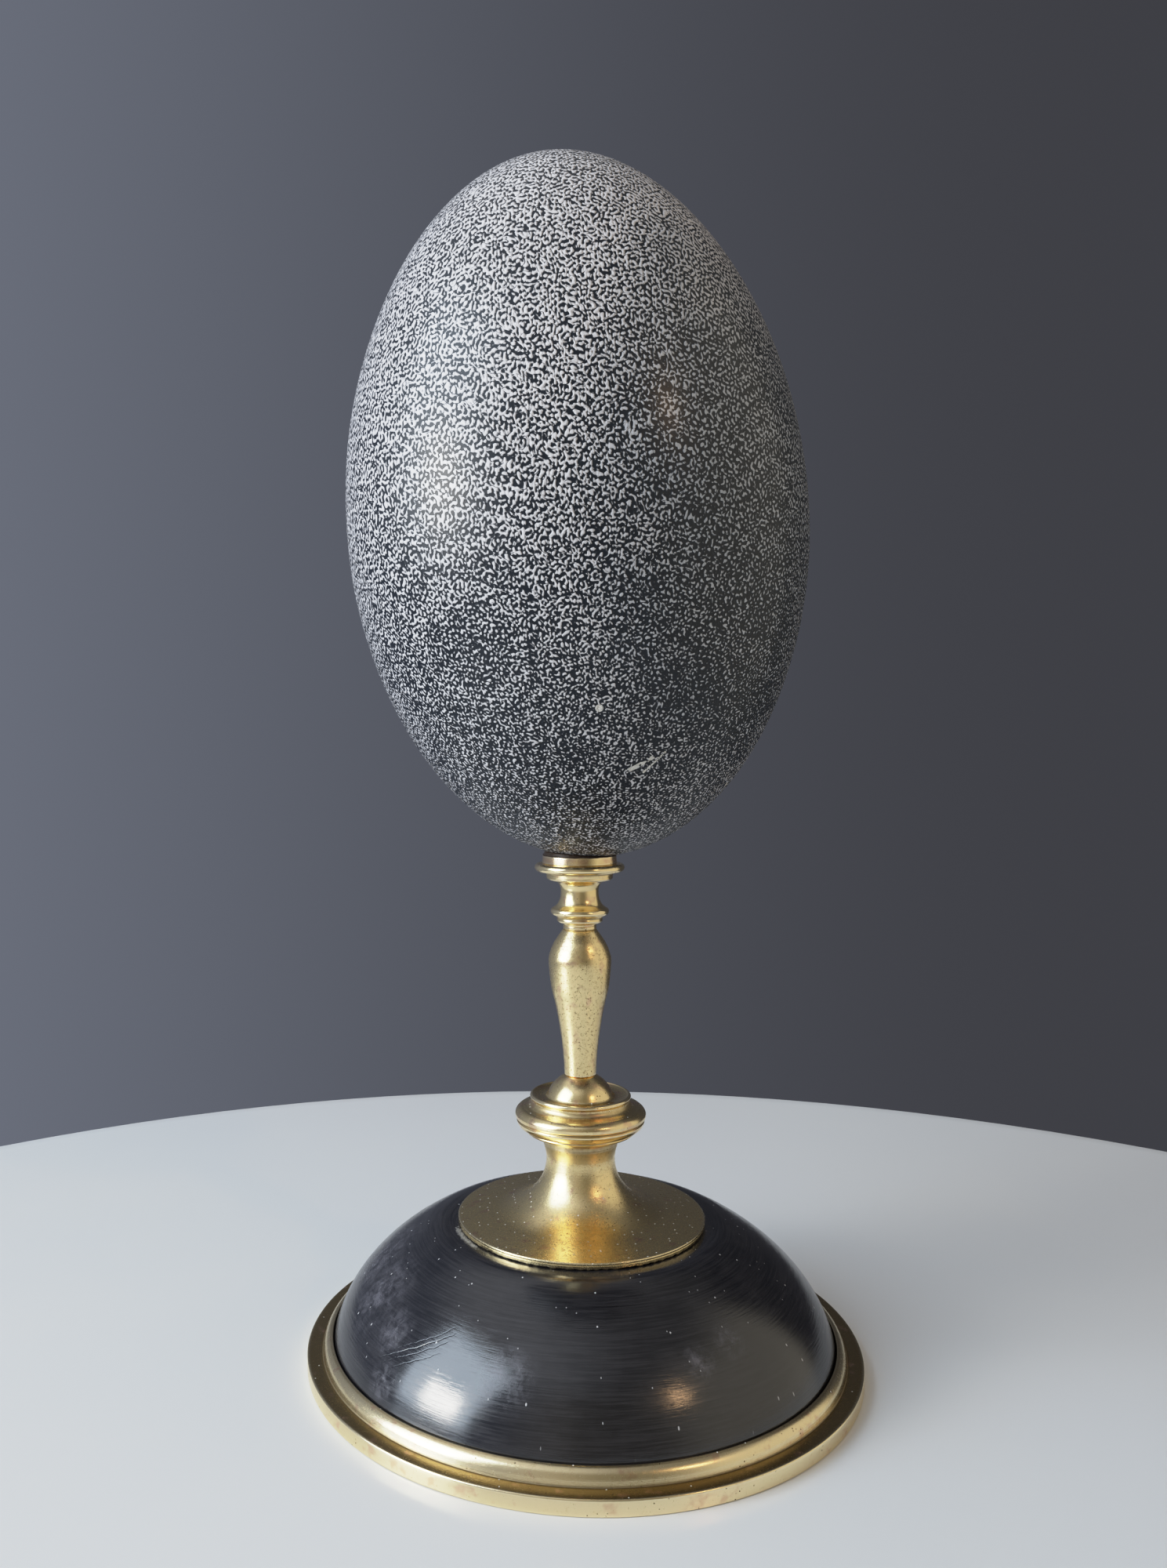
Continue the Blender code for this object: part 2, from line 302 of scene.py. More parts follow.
def underside(x, y):
    """The height of the shell's lower surface over (x, y), found by halving."""
    low, high = np.full_like(x, top("egg_cup") - 2), np.full_like(x, EGG_CENTRE.z)
    for _ in range(HALVINGS):
        middle = (low + high) / 2
        within = inside_egg(x, y, middle) < 0
        low, high = np.where(within, low, middle), np.where(within, middle, high)
    return high


print(f"the shell is {underside(np.zeros(1), np.zeros(1))[0] - top('egg_cup'):+.2f} mm above the rim")

# %% Make the seat
LAP = 0.12  # mm that the mastic laps over the cup's rim
RAISED = 0.22  # mm that the cup's rim stands above its solid
PRESSED_IN = 0.06  # mm that the mastic reaches into the shell
WANDER_OUT = 0.07  # mm that the lapping edge wanders in and out
WANDER_DOWN = 0.09  # mm that it wanders up and down
LIP_RADIUS = 6.8  # mm: what lies further in doesn't wander
LIP_HEIGHT = 98  # mm: nor does what lies lower


def pressed_out(r, z, angle):
    """Caps the height with the shell's underside, and lets the lapping edge wander."""
    over = np.clip((r - LIP_RADIUS) / 0.4, 0, 1) * np.clip((z - LIP_HEIGHT) / 0.5, 0, 1)
    r = r + over * WANDER_OUT * waver(angle, 14, 3)
    z = z - over * WANDER_DOWN * waver(angle, 20, 4, 5)
    return r, np.minimum(z, underside(r * np.cos(angle), r * np.sin(angle)) + PRESSED_IN)


cup_top = top("egg_cup") + RAISED
cup_radius = radius("egg_cup")
seat = turned("seat_bed", soften(
    [(0, 104), (6.5, 104), (6.72, 100.3), (6.98, 99.6), (cup_radius - 0.2, 99.1)],
    [(cup_radius - 0.06, cup_top + LAP), (cup_radius - 0.2, cup_top - LAP)],
    [(6.6, cup_top - 0.4), (0, cup_top - 0.4)], rounding=0.05), 144, pressed_out)

# %% [markdown]
# ## The cup and the collar
#
# The cup is a plain drum whose upper edge was filed by hand, so it wavers. Below it the collar has a
# round flange, a fillet under it, a waisted spool and a lower ring. Cylinders and rings could be
# stacked to the same effect, but every joint between them would then need work, so each piece is one
# turned outline. Where one moulding meets the next, the outline cuts in by a tenth or two: these quirks
# are what reads as fine dark lines.

# %% Make the cup
CLOSE = 0.27  # mm that a piece reaches past the frame's clearance, so that no light shows between two
FILED = 0.07  # mm that the filed edge wavers up and down


def filed_edge(r, z, angle):
    """Moves only the top edge, up and down."""
    near_top = np.clip((z - cup_top + 0.5) / 0.5, 0, 1)
    return r, z + near_top * FILED * waver(angle, 26, 8, 3)


drum = cup_radius - 0.12
cup = turned("cup_drum", soften(
    [(0, cup_top - 0.3), (drum - 0.6, cup_top - 0.3), (drum - 0.5, cup_top), (drum, cup_top)],
    [(drum + 0.1, cup_top - 1.45), (drum + 0.02, cup_top - 1.65), (0, cup_top - 1.65)],
    rounding=0.05), 192, filed_edge)

# %% Make the collar
flange = top("collar") + CLOSE
wide = radius("collar") + 0.04
neck = top("baluster") + CLOSE
collar = turned("collar_spool", soften(
    [(0, flange), (wide - 0.8, flange)],
    arc((wide - 0.78, flange - 0.78), (0.78, 0.78), 80, -85),
    [(7.1, 95.72), (6.78, 95.6), (6.66, 95.42), (6.6, 94.9)],
    arc((6.1, 94.6), (0.48, 0.42), 20, -80, 8),
    sweep((5.5, 94.0), (4.35, 93.55), (3.82, 92.55), (3.75, 91.5),
          (3.93, 90.3), (4.45, 89.25), (5.05, 88.72)),
    arc((5.12, 87.85), (0.68, 0.72), 75, -66, 16),
    [(5.1, 87.12), (4.72, 86.95), (4.62, 86.8)],
    arc((4.05, 86.2), (0.5, 0.55), 40, -65, 10),
    [(3.75, 85.62), (3.42, 85.5), (3.3, 85.3), (3.3, neck), (0, neck)],
    rounding=0.06, bend=6.0), 160)

# %% [markdown]
# ## The baluster and the knop
#
# The baluster is one sweep from a small bead through a full belly to a thin ankle. The knop under it
# has a ball cap, a dished flange over an undercut cove, a big ring, and two fine grooves on its
# underside. One could cut loops into a cylinder and scale them by eye. Knots and arcs in millimetres
# are easier to set against a photograph, because each of them is a measurement.

# %% Make the baluster
seat_z = top("knop") + CLOSE
stem = turned("baluster_stem", soften(
    [(0, neck), (3.2, neck), (3.32, neck - 0.1), (3.3, 84.45), (3.16, 84.32), (3.3, 84.2)],
    sweep((3.42, 84.12), (4.07, 83.2), (5.12, 81.6), (5.84, 79.9), (radius("baluster") + 0.05, 77.9),
          (5.76, 73.1), (4.97, 69.65), (4.2, 65.6), (3.66, 61.9), (3.32, 58.5), (3.17, 56.0),
          (3.12, seat_z)),
    [(0, seat_z)], rounding=0.05, longest=0.45), 144)

# %% Make the knop
cap_z, cap_r = 48.76, 7.05  # the middle and the radius of the ball cap
cap_start = math.degrees(math.asin((seat_z - cap_z) / cap_r))
big = radius("knop")
foot_top = top("trumpet_foot") + CLOSE
knop = turned("knop_rings", soften(
    [(0, seat_z)],
    arc((0, cap_z), (cap_r, cap_r), cap_start, 21, 20),
    sweep((6.85, 51.0), (7.5, 50.93), (8.4, 51.05), (9.25, 51.3)),
    arc((9.55, 50.97), (0.48, 0.46), 105, -50, 12),
    sweep((9.74, 50.42), (9.74, 49.95), (9.98, 49.48), (10.5, 49.12), (11.25, 48.92)),
    arc((big - 1.8, 47.45), (1.8, 1.42), 84, -14, 22),
    [(12.93, 46.95), (12.7, 46.72), (12.52, 46.55), (12.56, 46.42), (12.74, 46.3)],
    sweep((12.68, 45.95), (12.35, 45.4), (11.85, 44.95), (11.35, 44.66)),
    [(11.02, 44.58), (11.12, 44.36), (10.85, 44.06)],
    sweep((10.5, 43.88), (9.4, 43.55), (8.3, 43.25), (7.7, 42.95), (7.47, 42.5)),
    [(7.43, foot_top), (0, foot_top)],
    rounding=0.055, bend=6.0), 208)

# %% [markdown]
# ## The trumpet foot
#
# A neck flares in one sweep, a quarter of an ellipse, to a thin disc that lies on the wood. The disc's
# top edge is crisp. Its lower edge is ragged, as if it was parted off and never cleaned, and residue
# clings to it. A bump in the material could only shade that edge, and its outline would stay a clean
# circle. So the grid's lowest points are pushed, and no others.

# %% Make the foot
DISC_THICKNESS = 1.35  # mm
RAGGED_OUT = 0.1  # mm that the lower edge is pushed in and out
RAGGED_UP = 0.16  # mm that it is pushed up and down

disc = radius("trumpet_foot")
disc_bottom = top("plinth") + 0.06
disc_top = disc_bottom + DISC_THICKNESS


def ragged_rim(r, z, angle):
    """Pushes the disc's lower edge in, out, up and down, more the lower it lies."""
    low = np.clip((disc_bottom + 0.75 - z) / 0.6, 0, 1) * np.clip((r - disc + 1.2) / 0.8, 0, 1)
    bumps = 0.5 * waver(angle, 60, 21, 20) + 0.5 * waver(angle, 150, 22, 60)
    return r + low * (RAGGED_OUT * bumps - 0.03), z + low * RAGGED_UP * waver(angle, 110, 23, 25)


foot = turned("trumpet_disc", soften(
    [(0, foot_top), (7.42, foot_top)],
    sweep((7.36, 41.4), (7.05, 40.3), (6.86, 39.3)),
    arc((18.81, 38.6), (12.0, 10.5), 180, 263, 60),
    [(disc - 0.12, disc_top), (disc, disc_top - 0.12), (disc - 0.02, disc_top - 0.42)],
    [(disc - 0.09, disc_top - 0.5), (disc - 0.03, disc_top - 0.6), (disc - 0.06, disc_bottom + 0.2)],
    [(disc - 0.3, disc_bottom), (0, disc_bottom)],
    rounding=0.05, longest=0.5), 320, ragged_rim)

# %% [markdown]
# ## The plinth
#
# The plinth is a dome of dark wood, part of an ellipsoid centred on the floor, with a flat seat on top
# for the disc. A flattened sphere, cut off at the top, would have a hard ring round that seat. As an
# outline the dome eases into it without a corner.

# %% Make the plinth
DOME_RADIUS = 49.85  # mm, at the floor
DOME_HEIGHT = 31.7  # mm, before it was cut flat
DOME_STARTS = 30.6  # mm from the axis, where the eased edge has become the dome
WOOD_FOOT = 2.2  # mm above the floor, hidden in the plate


def dome_angle(r):
    """The angle on the dome's ellipse, in degrees, where its radius is r."""
    return math.degrees(math.acos(r / DOME_RADIUS))


wood_wall = radius("plinth") + 0.12
wood_top = top("plinth")
wood = turned("plinth_dome", soften(
    [(0, wood_top), (24.5, wood_top)],
    sweep((26.4, wood_top - 0.02), (27.8, wood_top - 0.13), (29.2, wood_top - 0.48)),
    arc((0, 0), (DOME_RADIUS, DOME_HEIGHT), dome_angle(DOME_STARTS), dome_angle(wood_wall), 90),
    [(wood_wall, WOOD_FOOT), (0, WOOD_FOOT)], rounding=0.4, longest=0.45), 360)

# %% [markdown]
# ## The base plate
#
# The plate is flat brass with a quarter-round bead that hides the edge of the wood. A hair of shadow
# stays between the bead and the wood. Plate and bead could be two objects. In one outline, the quirk
# between them is rounded and dirtied as all the others are.

# %% Make the base plate
BEAD_INNER = 49.35  # mm from the axis
BEAD_OUTER = 51.33  # mm from the axis
BEAD_TOP = top("base_plate")
PLATE = 2.9  # mm thick
RECESS = 1.6  # mm above the floor, under the wood

edge = radius("base_plate")
plate = turned("plate_and_bead", soften(
    [(0, RECESS), (BEAD_INNER, RECESS), (BEAD_INNER, BEAD_TOP - 0.25), (BEAD_INNER + 0.12, BEAD_TOP)],
    arc((BEAD_INNER, PLATE + 0.1), (BEAD_OUTER - BEAD_INNER, BEAD_TOP - PLATE - 0.1), 84, 14, 24),
    [(BEAD_OUTER + 0.12, PLATE), (edge - 0.16, PLATE - 0.04), (edge, PLATE - 0.2), (edge, 0.12)],
    [(edge - 0.12, 0), (0, 0)], rounding=0.1, longest=0.9), 400)

# %% [markdown]
# ## Shader maths as Python
#
# A procedural material is a sum of small decisions: how cloudy, how worn, how dirty. They read best as
# ordinary expressions. A Wire holds one socket, and Python's operators on it add Math nodes. A Shop
# holds one material's node tree. Its method add makes any other node, and the short methods after it
# are the ones that this stand needs again and again.

# %% Wires
class Wire:
    """A socket that carries a number or a colour. Operators add Math nodes, for numbers only."""

    def __init__(self, shop, socket):
        self.shop, self.socket = shop, socket

    def __add__(self, other):
        return self.shop.math("ADD", self, other)

    def __sub__(self, other):
        return self.shop.math("SUBTRACT", self, other)

    def __rsub__(self, other):
        return self.shop.math("SUBTRACT", other, self)

    def __mul__(self, other):
        return self.shop.math("MULTIPLY", self, other)

    __radd__ = __add__
    __rmul__ = __mul__


# %% The shop
GOLDEN_ANGLE = math.pi * (3 - math.sqrt(5))
GOLDEN_SHARE = (math.sqrt(5) - 1) / 2


class Shop:
    """The nodes of a material, with places in millimetres, or of a world, with directions."""

    def __init__(self, owner, shader="Principled BSDF", place="Object", scale=1 / MM):
        owner.use_nodes = True
        self.owner, self.tree = owner, owner.node_tree
        self.shader = self.tree.nodes[shader]
        start = self.add("ShaderNodeTexCoord", output=place)
        self.here = self.scaled(start, scale)
        self.x, self.y, self.z = (self.add("ShaderNodeSeparateXYZ", {}, {0: self.here}, output=i)
                                  for i in range(3))

    def add(self, kind, settings=None, sockets=None, output=0):
        """Any node, from its type, its settings, and the values or wires of its sockets."""
        node = self.tree.nodes.new(kind)
        for name, value in (settings or {}).items():
            setattr(node, name, value)
        self.fill(node, sockets or {})
        return Wire(self, node.outputs[output])

    def fill(self, node, sockets):
        """Links each socket that is given a wire, and sets each that is given a value."""
        for key, value in sockets.items():
            if isinstance(value, Wire):
                self.tree.links.new(value.socket, node.inputs[key])
            else:
                node.inputs[key].default_value = value

    def math(self, operation, *values):
        """One Math node, on numbers."""
        return self.add("ShaderNodeMath", {"operation": operation}, dict(enumerate(values)))

    def between(self, value, low, high):
        """0 below low, 1 above high, and a smooth step from one to the other."""
        return self.add("ShaderNodeMapRange", {"interpolation_type": "SMOOTHSTEP"},
                        {"Value": value, "From Min": low, "From Max": high})

    def noise(self, scale, detail=2.0, roughness=0.5, at=None, colour=False, distortion=0.0):
        """Cloudy noise with about scale bumps to a millimetre."""
        return self.add("ShaderNodeTexNoise", {},
                        {"Vector": at or self.here, "Scale": scale, "Detail": detail,
                         "Roughness": roughness, "Distortion": distortion}, output=1 if colour else 0)

    def mix(self, factor, first, second):
        """A colour that goes from first to second."""
        first, second = (v if isinstance(v, Wire) else (*v, 1) for v in (first, second))
        return self.add("ShaderNodeMix", {"data_type": "RGBA"}, {0: factor, 6: first, 7: second}, output=2)

    def vector(self, x, y, z):
        """Three numbers as one vector."""
        return self.add("ShaderNodeCombineXYZ", {}, {0: x, 1: y, 2: z})

    def vector_math(self, operation, first, second):
        """One Vector Math node that gives a vector."""
        return self.add("ShaderNodeVectorMath", {"operation": operation}, {0: first, 1: second})

    def measure(self, operation, first, second=(0, 0, 0)):
        """One Vector Math node that gives a number, such as a length or a distance."""
        return self.add("ShaderNodeVectorMath", {"operation": operation}, {0: first, 1: second}, output=1)

    def scaled(self, first, factor):
        """A vector times a number."""
        return self.add("ShaderNodeVectorMath", {"operation": "SCALE"}, {0: first, "Scale": factor})

    def moved(self, offset, by):
        """The place, moved by a colour noise times a length."""
        centred = self.vector_math("SUBTRACT", offset, (0.5, 0.5, 0.5))
        return self.add("ShaderNodeVectorMath", {"operation": "MULTIPLY_ADD"},
                        {0: centred, 1: (by, by, by), 2: self.here})

    def near(self, place, reach):
        """1 at a place, falling smoothly to 0 at reach from it."""
        return 1 - self.between(self.measure("DISTANCE", self.here, place), 0.0, reach)

    def line(self, start, end, reach):
        """1 on the straight line from start to end, falling smoothly to 0 at reach from it."""
        run = Vector(end) - Vector(start)
        ahead = self.vector_math("SUBTRACT", self.here, start)
        share = self.measure("DOT_PRODUCT", ahead, tuple(run / run.length_squared))
        share = self.math("MINIMUM", self.math("MAXIMUM", share, 0.0), 1.0)
        away = self.measure("DISTANCE", ahead, self.scaled(tuple(run), share))
        return 1 - self.between(away, 0.0, reach)

    def ring_radius(self):
        """The distance from the stand's axis."""
        return self.measure("LENGTH", self.vector(self.x, self.y, 0.0))

    def attribute(self, label):
        """A number that the mesh keeps on every point."""
        return self.add("ShaderNodeAttribute", {"attribute_name": label}, output="Fac")

    def either(self, first, second):
        """The larger of two masks at each place."""
        return self.math("MAXIMUM", first, second)

    def dots(self, spacing, size, share, fallen=False):
        """Small round specks: in each cell of the given spacing, a dot where the cell's random number
        is under the share. What has fallen from above has the same place at every height.
        """
        kind = {"voronoi_dimensions": "2D" if fallen else "3D"}
        cells = {"Vector": self.here, "Scale": 1 / spacing}
        away = self.add("ShaderNodeTexVoronoi", kind, cells, output="Distance")
        tint = self.add("ShaderNodeTexVoronoi", kind, cells, output="Color")
        chance = self.add("ShaderNodeSeparateColor", {}, {0: tint})
        edge = size / spacing
        dot = 1 - self.between(away, edge * 0.6, edge * 1.2)
        return dot * self.math("LESS_THAN", chance, share)

    def maze(self, waves, shortest, longest, start, at=None):
        """A labyrinth: plane waves are added up. Their directions are spread evenly over half a sphere,
        and their lengths lie between shortest and longest, in mm. start sets their phases apart. Most
        values are between -2 and 2.
        """
        total = 0.0
        for i in range(waves):
            z, turn = (i + 0.5) / waves, i * GOLDEN_ANGLE
            rate = 2 * math.pi / (shortest + (longest - shortest) * (i * GOLDEN_SHARE % 1))
            direction = (math.sqrt(1 - z * z) * math.cos(turn), math.sqrt(1 - z * z) * math.sin(turn), z)
            along = self.measure("DOT_PRODUCT", at or self.here, tuple(rate * c for c in direction))
            total = total + self.math("SINE", along + start * i * i)
        return total * math.sqrt(2 / waves)

    def bump(self, height, depth, after=None):
        """A relief of the given depth in millimetres, on top of another if one is given."""
        sockets = {"Height": height, "Distance": depth * MM, "Strength": 1.0}
        if after:
            sockets["Normal"] = after
        return self.add("ShaderNodeBump", {}, sockets)

    def finish(self, **sockets):
        """Fills the shader's own sockets, whose names are written with _ for a space."""
        self.fill(self.shader, {name.replace("_", " "): value for name, value in sockets.items()})
        print(f"{self.owner.name}: {len(self.tree.nodes)} nodes")
        return self.owner


def material_shop(name):
    """A new material, ready for its nodes."""
    return Shop(bpy.data.materials.new(name))


print("neighbouring waves of a labyrinth are", round(math.degrees(GOLDEN_ANGLE), 1), "degrees apart")

# %% [markdown]
# ## Emu eggshell
#
# An emu shell is covered with small raised grains. On this egg their tops are pale, as if worn, and the
# ground between them is a blue-black skin. The grains are all of nearly one size and run together in
# short worms. Noise and Voronoi textures give grains of many sizes, so plane waves of nearly one length
# are added up instead, which gives a labyrinth. A coarser labyrinth cuts its ridges into grains. The sum
# is the height of the shell, so the relief and the colour agree. Grains are pale above a level that
# rises downwards and towards the front right, where they are also fewer and finer. The front right side
# is darkened as painted shade, with duller grains and a skin lightened as painted sheen. Towards the
# foot the grains are a little duller.

# %% Where on the shell
shell = material_shop("emu_eggshell")
rise = (shell.z - EGG_CENTRE.z) * (2 / EGG_LENGTH)  # -1 at the foot, 1 at the top
side = (shell.x - shell.y) * (math.sqrt(2) / EGG_WIDTH)  # 1 at the front right
patches = shell.noise(0.07, 2.0)
uneven = patches - 0.5
low = shell.between(0 - rise, -0.1, 0.9)  # 0 in the upper half, 1 at the foot: where grains get fewer
to_foot = shell.between(0 - rise + uneven * 0.4, -0.45, 0.75)  # from higher up: where they get duller
# The front right side, which is darkened below as painted shade.
shaded_side = shell.between(side + uneven * 0.3, 0.55, 0.97)
print("the middle of the shell's pattern:", [round(v, 2) for v in EGG_CENTRE])

# %% The grains
GRAIN_WAVES = (0.62, 1.14)  # mm, from the shortest to the longest
CUT_WAVES = (1.3, 2.1)  # mm
PULL = 1.6  # mm that the pattern is pulled about, so that its waves don't run straight

finer = 1 + low * 0.2 + shell.between(side, 0.1, 1.0) * 0.16
pulled = shell.moved(shell.noise(0.25, 1.0, colour=True), PULL)
grain_at = shell.scaled(shell.vector_math("SUBTRACT", pulled, tuple(EGG_CENTRE)), finer)
ridges = shell.maze(22, *GRAIN_WAVES, 1.7, grain_at)
cuts = shell.between(shell.math("ABSOLUTE", shell.maze(14, *CUT_WAVES, 2.3, grain_at)), 0.05, 0.4)
height = ridges + (shell.noise(2.0, 1.0) - 0.5) * 1.4 + (cuts - 1) * 1.3
# On the front right fewer grains are pale: this is part of its painted shade.
worn = 0.1 + rise * 0.65 - shaded_side * 1.1 - low * 0.85 + uneven * 0.3
pale = shell.between(height + worn * 0.6, -0.5, 0.35)
print(f"the shell's grains: {len(shell.tree.nodes)} nodes so far")

# %% The shell's colours
# Of each pair, the first is mixed in on the front right as painted shade, and a little towards the foot.
GRAIN = ((0.23, 0.262, 0.306), (0.66, 0.65, 0.68))  # dull and bright
GRAIN_CHALKY = ((0.46, 0.505, 0.565), (0.76, 0.73, 0.735))  # dull and bright
SKIN = ((0.003, 0.005, 0.009), (0.009, 0.013, 0.021))
# On the front right the skin is lightened: a painted sheen.
SKIN_PAINTED_SHEEN = (0.019, 0.024, 0.031)

# The grains are dulled on the front right as painted shade, and a little towards the foot.
bright = (1 - shaded_side * 0.84) * (1 - to_foot * 0.25)
grain = shell.mix(shell.noise(2.6, 2.0), shell.mix(bright, *GRAIN), shell.mix(bright, *GRAIN_CHALKY))
# On the front right the skin is lightened as painted sheen.
skin = shell.mix(shaded_side * 0.8, shell.mix(shell.noise(0.8, 2.0), *SKIN), SKIN_PAINTED_SHEEN)
mottled = shell.mix(pale, skin, grain)
print(f"the shell's colours: {len(shell.tree.nodes)} nodes so far")

# %% The shell's marks and relief
SPOT = ((0.7, -36.6, 127.0), 1.2)  # a round pale spot on the front: its place and reach, mm
CHIP = ((27.0, -10.7, 113.2), 0.9)  # a tiny chip near the right edge
SCRATCHES = (((6.2, -29.8, 116.3), (10.4, -30.4, 118.6), 0.76),  # start, end and reach, mm
             ((8.2, -28.6, 115.3), (12.6, -30.2, 119.6), 0.44))
SCRATCHED = (0.7, 0.69, 0.65)

marks = shell.either(shell.near(*SPOT), shell.near(*CHIP))
broken = shell.between(shell.noise(1.4, 2.0), 0.4, 0.5)
for start, end, reach in SCRATCHES:
    marks = shell.either(marks, shell.line(start, end, reach) * broken)
mottled = shell.mix(shell.between(marks, 0.3, 0.5), mottled, SCRATCHED)
fine = shell.noise(4.5, 2.0)
relief = shell.bump(shell.between(height, -1.2, 1.6), 0.19, shell.bump(fine, 0.02))
sheen = (pale * 0.6 + 0.35) * (1 - to_foot * 0.6)
eggshell = shell.finish(Base_Color=mottled, Roughness=0.4 + (fine - 0.5) * 0.1, Normal=relief,
                        Specular_IOR_Level=0.2, Coat_Weight=sheen, Coat_Roughness=0.29)

# %% [markdown]
# ## Aged brass
#
# Old brass is not one colour. Handling leaves it warm and bright on edges, tarnish clouds it olive and
# brown, and grime stays in the quirks. An image of old brass would have its edges elsewhere. Here the
# outline's crease number, kept on every point, says where edges and quirks are. Fine pits break up the
# reflections, and on turned flats so do rings left by the tool. Dust lies on what faces up, and what
# faces up is made browner. Bands of painted shade darken the knop's cove and the neck under the knop.

# %% A brass for each piece
GOLD = (0.94, 0.745, 0.39)
PALE_GOLD = (0.90, 0.75, 0.45)
TARNISH = (0.56, 0.40, 0.185)
FLAT_BROWN = (0.40, 0.29, 0.13)
ROSE = (0.72, 0.46, 0.30)
WORN = (0.97, 0.82, 0.52)
GRIME_AND_SHADE = (0.075, 0.048, 0.024)
DUST = (0.75, 0.74, 0.7)
LATHE_LINES = 7  # to a millimetre


def brass(name, gold=GOLD, tarnish=0.3, rose=0.1, rings=0.0, rough=0.22, pits=0.5, browned_flats=0.4,
          specks=0.3, dusty=0.06, shade_bands=()):
    """gold is the clean metal's colour. tarnish, rose, pits and specks say how much of the piece they
    cover; rings says how deep the lathe's marks are, and settled how much browner what faces up is made.
    dusty is the share of places with a grain of dust. grimy lists heights where shade is painted, in the
    knop's cove and under the knop, each with its reach in millimetres and its strength.
    """
    shop = material_shop(name)
    crease, level = shop.attribute("crease"), shop.attribute("level")
    cloud = shop.noise(0.22, 4.0, 0.6)
    mottle = shop.noise(1.6, 4.0, 0.65)
    fine = shop.noise(5.0, 2.0, 0.6)

    clouded = cloud * 0.5 + mottle * 0.35 + fine * 0.15
    dull = shop.between(clouded, 0.62 - tarnish * 0.32, 0.78 - tarnish * 0.15)
    # What faces up is made browner.
    flat = shop.between(level + (mottle - 0.5) * 0.1, 0.86, 0.99) * browned_flats
    colour = shop.mix(flat, shop.mix(dull, gold, TARNISH), FLAT_BROWN)
    blush = shop.between(shop.noise(0.35, 2.0, 0.5), 0.62 - rose * 0.4, 0.75 - rose * 0.2)
    colour = shop.mix(blush * 0.7, colour, ROSE)
    worn = shop.between(0 - crease, 0.15, 0.6) * 0.6
    colour = shop.mix(worn, colour, WORN)

    # Grime in the hollows, pits and specks, and the bands of painted shade below, make one mask.
    grime_and_shade = shop.between(crease + (mottle - 0.5) * 0.3, 0.2, 0.8) * 0.75
    pit = shop.between(fine * 0.5 + mottle * 0.5, 0.52 + 0.1 * (1 - pits), 0.68 + 0.1 * (1 - pits))
    dots = shop.dots(0.8, 0.13, specks) * shop.between(cloud, 0.4, 0.55)
    grime_and_shade = shop.either(shop.either(grime_and_shade, pit * pits * 0.75), dots)
    # Bands of painted shade at given heights: in the knop's cove and on the neck under the knop.
    for height, reach, strength in shade_bands:
        away = shop.math("ABSOLUTE", shop.z - height)
        grime_and_shade = shop.either(grime_and_shade, (1 - shop.between(away, 0.0, reach)) * (mottle + 0.5) * strength)
    colour = shop.mix(grime_and_shade, colour, GRIME_AND_SHADE)
    dust = shop.dots(1.7, 0.13, dusty, fallen=True) * shop.between(level, 0.3, 0.7)
    colour = shop.mix(dust, colour, DUST)

    ring_at = shop.vector(shop.ring_radius() * LATHE_LINES, shop.z * LATHE_LINES,
                          shop.x * 0.05 + shop.y * 0.03)
    lathe = shop.noise(1.0, 3.0, 0.7, at=ring_at)
    normal = shop.bump(1 - fine, 0.016 * pits, shop.bump(1 - mottle, 0.02 * pits))
    normal = shop.bump(lathe, 0.003 + 0.02 * rings, normal)
    roughness = rough + dull * 0.1 + (mottle - 0.5) * 0.12 + grime_and_shade * 0.35 - worn * 0.06
    return shop.finish(Base_Color=colour, Metallic=1 - dust, Roughness=roughness, Normal=normal)


# %% Each piece's brass
# Heights where shade is painted: the knop's cove, and the neck under the knop.
SHADE_IN_KNOP_COVE = (49.7, 0.9, 0.4)  # height in mm, reach in mm, and strength
SHADE_UNDER_KNOP = (41.6, 3.2, 0.5)

cup_brass = brass("cup_brass", tarnish=0.2, rose=0.6, rough=0.2)
collar_brass = brass("collar_brass", tarnish=0.1, rose=0.2, rough=0.2, pits=0.4, browned_flats=0.1)
stem_brass = brass("stem_brass", tarnish=0.25, rose=0.15, rough=0.22, pits=1.1, specks=0.7)
knop_brass = brass("knop_brass", tarnish=0.07, rose=0.3, rough=0.21, pits=0.6, specks=0.8,
                   shade_bands=(SHADE_IN_KNOP_COVE, SHADE_UNDER_KNOP))
disc_brass = brass("disc_brass", tarnish=0.2, rose=0.05, rings=0.8, rough=0.25, pits=0.9, browned_flats=0.2,
                   specks=0.5, dusty=0.3, shade_bands=(SHADE_UNDER_KNOP,))
plate_brass = brass("plate_brass", PALE_GOLD, tarnish=0.25, rings=0.2, pits=0.5, browned_flats=1.0)

# %% [markdown]
# ## Mastic and blackened wood
#
# The mastic is nearly black and a little glossy. The plinth's wood was stained black and waxed. Fine
# turning lines run round it, the wax has gone hazy in patches, and dust sits on top. On the left a few
# hairline cracks run side by side, narrower than the mesh is fine, so the material draws them. Each
# kind of mark is a mask between 0 and 1, worked out from the place on the wood. That keeps every mark
# where it is in all views, and it needs no painted image.

# %% The mastic
MASTIC = ((0.010, 0.006, 0.004), (0.045, 0.024, 0.012))

bed = material_shop("seat_mastic")
lumps = bed.noise(1.8, 3.0)
mastic = bed.finish(Base_Color=bed.mix(lumps, *MASTIC), Roughness=0.3 + lumps * 0.3,
                    Normal=bed.bump(lumps, 0.12))

